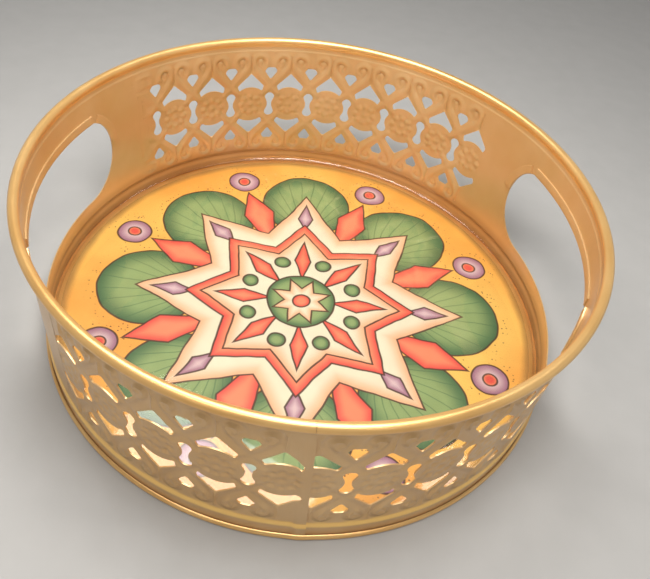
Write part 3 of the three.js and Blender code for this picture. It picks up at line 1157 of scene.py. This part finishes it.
@dataclass(frozen=True)
class GoldPaint:
    """Semi-gloss gold coating with faint mottling and orange peel."""

    name: str
    roughness: float
    metallic: float
    lacquer: float
    light: Colour = srgb(222, 184, 132)
    deep: Colour = srgb(212, 169, 112)
    lacquer_roughness: float = 0.2
    peel: float = 0.35
    peel_scale: float = 420
    peel_height: float = 0.12 * MM
    cloud_scale: float = 28
    cloud_span: Span = (0.3, 0.7)
    cloud_share: float = 0.1
    grain_scale: float = 900
    grain_share: float = 0.08
    foot: FootPaintedLight | None = None

    def material(self) -> bpy.types.Material:
        """Builds the material."""
        g = Graph(self.name)
        cloud = g.noise(self.cloud_scale, 3)
        grain = g.noise(self.grain_scale, 2)
        base = g.mix(g.smooth(cloud, *self.cloud_span), self.deep, self.light)
        # Painted shade inside the wall's foot and a painted highlight along the outside of its step.
        if self.foot:
            base = self.foot.laid(g, base)
        rough = self.roughness + (grain - 0.5) * self.grain_share + (cloud - 0.5) * self.cloud_share
        normal = g.bump(g.noise(self.peel_scale, 2), self.peel_height, self.peel)
        return g.principled(Base_Color=base, Metallic=self.metallic, Roughness=rough, Normal=normal,
                            Coat_Weight=self.lacquer, Coat_Roughness=self.lacquer_roughness)


@dataclass(frozen=True)
class WireSteel:
    """Plain drawn wire inside the rim."""

    def material(self) -> bpy.types.Material:
        """Builds the material."""
        g = Graph("drawn_wire")
        streak = g.noise(300, 3)
        base = g.mix(streak, srgb(150, 150, 150), srgb(190, 188, 184))
        return g.principled(Base_Color=base, Metallic=1.0, Roughness=0.3 + streak * 0.2)


class Ink(Enum):
    """Colours of the print, and of the painted shade at its edge."""

    GROUND = srgb(250, 178, 82)
    GROUND_LIGHT = srgb(255, 210, 112)
    IVORY = srgb(242, 240, 222)
    PEACH = srgb(248, 196, 160)
    LEAF = srgb(78, 118, 80)
    LEAF_LIGHT = srgb(150, 178, 122)
    CORAL = srgb(238, 88, 80)
    SALMON = srgb(250, 150, 116)
    MAUVE = srgb(168, 118, 152)
    LILAC = srgb(226, 200, 214)
    LINE = srgb(78, 46, 30)
    # Colour of the painted shade at the print's edge by the wall.
    EDGE_SHADE = srgb(150, 112, 66)


@dataclass(frozen=True)
class Motif:
    """Painted shape repeated round the medallion's centre; lengths in millimetres.

    The fill runs from the rim ink at the outline to the heart ink at a depth inside it.
    """

    count: int
    turned: bool
    rim: Ink
    heart: Ink
    depth: float

    def edge(self, g: "Graph", along: Node, across: Node) -> Node:
        """Distance from the outline, negative inside.

        Args:
            g: the material's graph.
            along: distance from the centre along the shape's own axis.
            across: distance from that axis, never negative.

        Returns:
            The distance in millimetres.
        """
        raise NotImplementedError

    def ribs(self, g: "Graph", along: Node, across: Node) -> Node | None:
        """Strength of the fine lines drawn in the shape, if it has any."""
        return None


@dataclass(frozen=True)
class Star(Motif):
    """Star of straight edges between its tips and notches."""

    tip: float
    notch: float

    def edge(self, g: Graph, along: Node, across: Node) -> Node:
        """Distance from the straight edge between a tip and a notch."""
        turn = math.pi / self.count
        side = Vector((self.notch * math.cos(turn) - self.tip, self.notch * math.sin(turn))).normalized()
        return (along - self.tip) * side.y - across * side.x


@dataclass(frozen=True)
class Kite(Motif):
    """Four-cornered kite pointing outwards."""

    inner: float
    waist: float
    outer: float
    half_width: float

    def edge(self, g: Graph, along: Node, across: Node) -> Node:
        """Distance from the nearer of the kite's two edges."""
        low = Vector((self.waist - self.inner, self.half_width)).normalized()
        high = Vector((self.outer - self.waist, self.half_width)).normalized()
        near = across * low.x - (along - self.inner) * low.y
        far = across * high.x + (along - self.outer) * high.y
        return g.math("MAXIMUM", near, far)


@dataclass(frozen=True)
class Roundel(Motif):
    """Disc at a distance from the centre, with ribs fanning out from its inner end if asked for."""

    centre: float
    radius: float
    rib_count: int = 0

    def edge(self, g: Graph, along: Node, across: Node) -> Node:
        """Distance from the circle."""
        return g.math("SQRT", (along - self.centre) ** 2 + across * across) - self.radius

    def ribs(self, g: Graph, along: Node, across: Node) -> Node | None:
        """Lines that fan out from the disc's inner end."""
        if not self.rib_count:
            return None
        foot = self.centre - self.radius
        step = math.pi / 2 / self.rib_count
        ray = g.math("ARCTAN2", across, along - foot)
        reach = g.math("SQRT", (along - foot) ** 2 + across * across)
        off = abs(g.math("FRACT", ray / step) - 0.5) * reach * step
        return (1 - g.smooth(off, 0.15, 0.5)) * g.smooth(reach, 6.0, 16.0)


@dataclass(frozen=True)
class FloorPrint:
    """Printed floor: a generic medallion of stars, kites and ribbed discs on a golden ground, with painted
    shade towards its edge.
    """

    line_width: float = 0.5
    line_strength: float = 0.92
    rib_strength: float = 0.55
    dot_strength: float = 0.85
    edge_shade_strength: float = 0.7
    soft_border: Span = (-0.12, 0.12)
    waver: float = 3.4
    waver_scale: float = 0.045
    ringed: int = 2
    dot: Span = (0.17, 0.26)
    halo_rise: Span = (0.9, 1.6)
    halo_fall: Span = (3, 8)
    dotted_from: Span = (84, 90)
    # Span over which the print darkens towards its edge: painted shade.
    painted_edge_shade: Span = (115.5, 120.0)
    motifs: tuple[Motif, ...] = (
        Roundel(8, False, Ink.LEAF, Ink.LEAF_LIGHT, 12.0, centre=79, radius=26, rib_count=9),
        Roundel(8, True, Ink.MAUVE, Ink.LILAC, 6.0, centre=103, radius=9),
        Roundel(8, True, Ink.SALMON, Ink.CORAL, 2.0, centre=103, radius=3.4),
        Kite(8, True, Ink.CORAL, Ink.SALMON, 6.0, inner=40, waist=72, outer=92, half_width=9),
        Star(8, False, Ink.PEACH, Ink.IVORY, 8.0, tip=86, notch=54),
        Kite(8, False, Ink.MAUVE, Ink.LILAC, 4.0, inner=56, waist=66, outer=78, half_width=4.5),
        Star(8, False, Ink.CORAL, Ink.SALMON, 5.0, tip=60, notch=42),
        Star(8, False, Ink.PEACH, Ink.IVORY, 7.0, tip=52, notch=36.5),
        Roundel(8, True, Ink.LEAF, Ink.LEAF_LIGHT, 3.0, centre=29.5, radius=4.2),
        Kite(8, False, Ink.CORAL, Ink.SALMON, 4.0, inner=16, waist=30, outer=45, half_width=4.6),
        Roundel(1, False, Ink.LEAF, Ink.LEAF_LIGHT, 5.0, centre=0, radius=18),
        Star(8, True, Ink.PEACH, Ink.IVORY, 4.0, tip=16, notch=9),
        Roundel(1, False, Ink.CORAL, Ink.SALMON, 3.0, centre=0, radius=4.5),
    )

    def painted(self, g: Graph, colour: bpy.types.NodeSocket, far: Node, turn: Node,
                motif: Motif) -> tuple[bpy.types.NodeSocket, Node]:
        """Lays one ring of shapes over the colours so far.

        Args:
            g: the material's graph.
            colour: colours so far.
            far: distance from the centre in millimetres.
            turn: angle as a share of a full turn.
            motif: the shape.

        Returns:
            The new colours and the distance from the shapes' outlines.
        """
        step = turn * motif.count + (0.0 if motif.turned else 0.5)
        local = (g.math("FRACT", step) - 0.5) * (2 * math.pi / motif.count)
        along = far * g.math("COSINE", local)
        across = abs(far * g.math("SINE", local))
        edge = motif.edge(g, along, across)
        fill = g.mix(g.smooth(-edge, 0.0, motif.depth), motif.rim.value, motif.heart.value)
        ribs = motif.ribs(g, along, across)
        if ribs is not None:
            fill = g.mix(ribs * self.rib_strength, fill, motif.rim.value)
        filled = g.mix(1 - g.smooth(edge, *self.soft_border), colour, fill)
        line = 1 - g.smooth(abs(edge), self.line_width * 0.6, self.line_width * 1.3)
        return g.mix(line * self.line_strength, filled, Ink.LINE.value), edge

    def material(self) -> bpy.types.Material:
        """Builds the material."""
        g = Graph("floor_print")
        place = g.coordinates(1 / MM)
        waver = g.node("TexNoise", None, Vector=place, Scale=self.waver_scale, Detail=2.0).outputs["Color"]
        offset = g.node("VectorMath", {"operation": "SUBTRACT"}, i0=waver, i1=(0.5, 0.5, 0.5)).outputs[0]
        reach = (self.waver, self.waver, 0.0)
        moved = g.node("VectorMath", {"operation": "MULTIPLY_ADD"}, i0=offset, i1=reach, i2=place).outputs[0]
        x, y, _ = g.parts(moved)
        far = g.math("SQRT", x * x + y * y)
        turn = g.math("ARCTAN2", y, x) * (1 / (2 * math.pi)) + 1.0
        colour = g.mix(g.smooth(g.noise(16, 3), 0.3, 0.7), Ink.GROUND.value, Ink.GROUND_LIGHT.value)
        edges = []
        for motif in self.motifs:
            colour, edge = self.painted(g, colour, far, turn, motif)
            edges.append(edge)
        halo = g.math("MINIMUM", *edges[:self.ringed])
        dots = g.node("TexVoronoi", {"feature": "F1"}, Vector=place, Scale=0.5, Randomness=0.9)
        dotted = 1 - g.smooth(dots.outputs["Distance"], *self.dot)
        stipple = dotted * g.band(halo, self.halo_rise, self.halo_fall)
        stippled = stipple * self.dot_strength * g.smooth(far, *self.dotted_from)
        colour = g.mix(stippled, colour, Ink.LINE.value)
        # Painted shade: the print darkens towards its edge by the wall.
        colour = g.mix(g.smooth(far, *self.painted_edge_shade) * self.edge_shade_strength, colour, Ink.EDGE_SHADE.value)
        wash = g.mix(g.noise(70, 4), srgb(212, 206, 198), srgb(230, 228, 225))
        colour = g.mix(1.0, colour, wash, "MULTIPLY")
        return g.principled(Base_Color=colour, Roughness=0.45 + g.noise(260, 2) * 0.2)


@dataclass(frozen=True)
class ResinCoat:
    """High-gloss clear resin: see-through with a mirror gloss that grows at a flat angle."""

    tint: Colour = (1.0, 0.99, 0.965, 1.0)
    roughness: float = 0.06
    ripple_scale: float = 55
    ripple_height: float = 0.4 * MM
    ripple_strength: float = 0.4
    least_gloss: float = 0.06
    flat_gloss: float = 0.5
    flat_power: int = 5

    def material(self) -> bpy.types.Material:
        """Builds the material."""
        g = Graph("clear_resin")
        normal = g.bump(g.noise(self.ripple_scale, 2), self.ripple_height, self.ripple_strength)
        clear = g.node("BsdfTransparent", None, Color=self.tint).outputs[0]
        gloss = g.node("BsdfAnisotropic", None, Roughness=self.roughness, Normal=normal).outputs[0]
        facing = Node(g, g.node("LayerWeight", None, Blend=0.5, Normal=normal).outputs["Facing"])
        behind = Node(g, g.node("NewGeometry").outputs["Backfacing"])
        factor = (self.least_gloss + self.flat_gloss * facing ** self.flat_power) * (1 - behind)
        shader = g.node("MixShader", None, i0=factor, i1=clear, i2=gloss)
        return g.output(shader.outputs[0])


@dataclass(frozen=True)
class Lamp:
    """A soft rectangular lamp that points at the tray; sides in metres and power in watts."""

    name: str
    place: Triple
    width: float
    depth: float
    power: float
    colour: Triple = (1.0, 0.985, 0.955)
    target: Triple = (0.0, 0.0, 0.02)

    def build(self) -> None:
        """Adds the lamp."""
        data = bpy.data.lights.new(self.name, "AREA")
        data.shape = "RECTANGLE"
        data.size = self.width
        data.size_y = self.depth
        data.energy = self.power
        data.color = self.colour
        obj = bpy.data.objects.new(self.name, data)
        obj.location = self.place
        aim = Vector(self.target) - Vector(self.place)
        obj.rotation_euler = aim.to_track_quat("-Z", "Y").to_euler()
        bpy.context.scene.collection.objects.link(obj)


@dataclass
class Studio:
    """Floor, surroundings, soft lamps and the camera at the photograph's angle."""

    lens: float = 36.0
    shift_x: float = 0.0315
    shift_y: float = -0.003
    place: Triple = (-0.0168, -0.2305, 0.2526)
    right: Triple = (0.993, 0.039, 0.110)
    up: Triple = (-0.104, 0.722, 0.684)
    horizon: Colour = (0.5, 0.487, 0.466, 1)
    zenith: Colour = (0.1, 0.105, 0.115, 1)
    climb: Span = (0.15, 0.65)
    lamps: tuple[Lamp, ...] = (
        Lamp("key_overhead", (0.0, -0.2, 1.0), 0.85, 0.85, 3.5),
        Lamp("near_softbox", (-0.08, 0.04, 0.36), 0.2, 0.2, 0.95),
        Lamp("near_fill", (0.05, -0.09, 0.4), 0.15, 0.15, 0.72),
        Lamp("front_strip", (-0.1, -0.38, 1.0), 1.0, 0.12, 2.6),
        Lamp("rear_right_glint", (0.4, 0.36, 0.95), 0.16, 0.16, 0.6),
        Lamp("front_left_glint", (-0.5, -0.9, 0.8), 0.2, 0.13, 0.4),
        Lamp("front_right_glint", (0.5, -0.9, 0.75), 0.2, 0.13, 0.4),
    )

    def camera(self) -> None:
        """Adds the camera."""
        data = bpy.data.cameras.new("photo_camera")
        data.sensor_width = 36
        data.lens = self.lens
        data.shift_x = self.shift_x
        data.shift_y = self.shift_y
        data.clip_start = 0.01
        obj = bpy.data.objects.new("photo_camera", data)
        right = Vector(self.right).normalized()
        up = Vector(self.up)
        up = (up - right * up.dot(right)).normalized()
        back = right.cross(up)
        turn = Matrix((right, up, back)).transposed().to_4x4()
        obj.matrix_world = Matrix.Translation(self.place) @ turn
        bpy.context.scene.collection.objects.link(obj)
        bpy.context.scene.camera = obj

    def floor(self) -> None:
        """Adds the pale floor."""
        bm = bmesh.new()
        bmesh.ops.create_grid(bm, x_segments=2, y_segments=2, size=3.0)
        floor = to_object("studio_floor", bm)
        g = Graph("studio_floor")
        base = g.mix(g.noise(60, 3), srgb(172, 170, 167), srgb(180, 178, 175))
        floor.data.materials.append(g.principled(Base_Color=base, Roughness=0.85))

    def world(self) -> None:
        """Sets the surroundings, from a pale horizon to a dark top."""
        world = bpy.data.worlds.new("studio_world")
        bpy.context.scene.world = world
        g = Graph("studio_world", world)
        _, _, height = g.parts(g.node("TexCoord").outputs["Generated"])
        tones = g.mix(g.smooth(height, *self.climb), self.horizon, self.zenith)
        background = g.node("Background", None, Color=tones, Strength=1.0)
        g.node("OutputWorld", None, Surface=background.outputs[0])

    def build(self) -> None:
        """Builds the whole studio."""
        self.camera()
        self.floor()
        self.world()
        for lamp in self.lamps:
            lamp.build()
        bpy.context.scene.view_settings.view_transform = "Standard"


@dataclass
class Tray:
    """The whole tray."""

    sizes: TraySizes = field(default_factory=TraySizes.from_frame)

    def dress(self, obj: bpy.types.Object, material: bpy.types.Material, slot: Slot, *nodes: str) -> None:
        """Gives a new piece its finish and its body, and hides the solids it stands for.

        Args:
            obj: the new piece.
            material: its finish.
            slot: not used.
            nodes: names of the solids that it stands for.
        """
        obj.data.materials.clear()
        obj.data.materials.append(material)
        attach(obj, "root")
        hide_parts(*nodes)
        LOG.info("%s: %d faces", obj.name, len(obj.data.polygons))

    def build(self) -> None:
        """Builds and dresses every piece."""
        foot = (self.sizes.wall_radius + self.sizes.foot_step) / MM
        # The sheet's paint carries painted shade and a painted highlight at the wall's foot.
        gold = GoldPaint("gold_paint_sheet", 0.35, 0.45, 0.3, foot=FootPaintedLight(foot)).material()
        rolled = GoldPaint("gold_paint_rolled", 0.32, 0.65, 0.35, srgb(240, 194, 126), srgb(230, 178, 106),
                           peel=0.2).material()
        section = WallSection(self.sizes)
        wall = WallSheet(self.sizes, section, Lattice(self.sizes))
        self.dress(wall.build(), gold, Slot.GOLD, "wall_strip")
        self.dress(RolledRim(self.sizes, section).build(), rolled, Slot.GOLD, "wall_strip")
        hems = HandHems(self.sizes, wall)
        for side in (0, 1):
            self.dress(hems.build(side), gold, Slot.GOLD, "wall_strip")
        self.dress(BasePan(self.sizes).build(), rolled, Slot.GOLD, "base_pan")
        self.dress(PrintedFloor(self.sizes).build(), FloorPrint().material(), Slot.PRINT, "printed_disc")
        self.dress(ClearCoat(self.sizes).build(), ResinCoat().material(), Slot.COAT, "clear_coat")
        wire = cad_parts["rim_wire"]
        wire.data.materials.clear()
        wire.data.materials.append(WireSteel().material())


def main() -> None:
    """Builds the studio and the tray."""
    logging.basicConfig(level=logging.INFO, format="%(name)s: %(message)s")
    Studio().build()
    Tray().build()


if __name__ == "__main__":
    main()
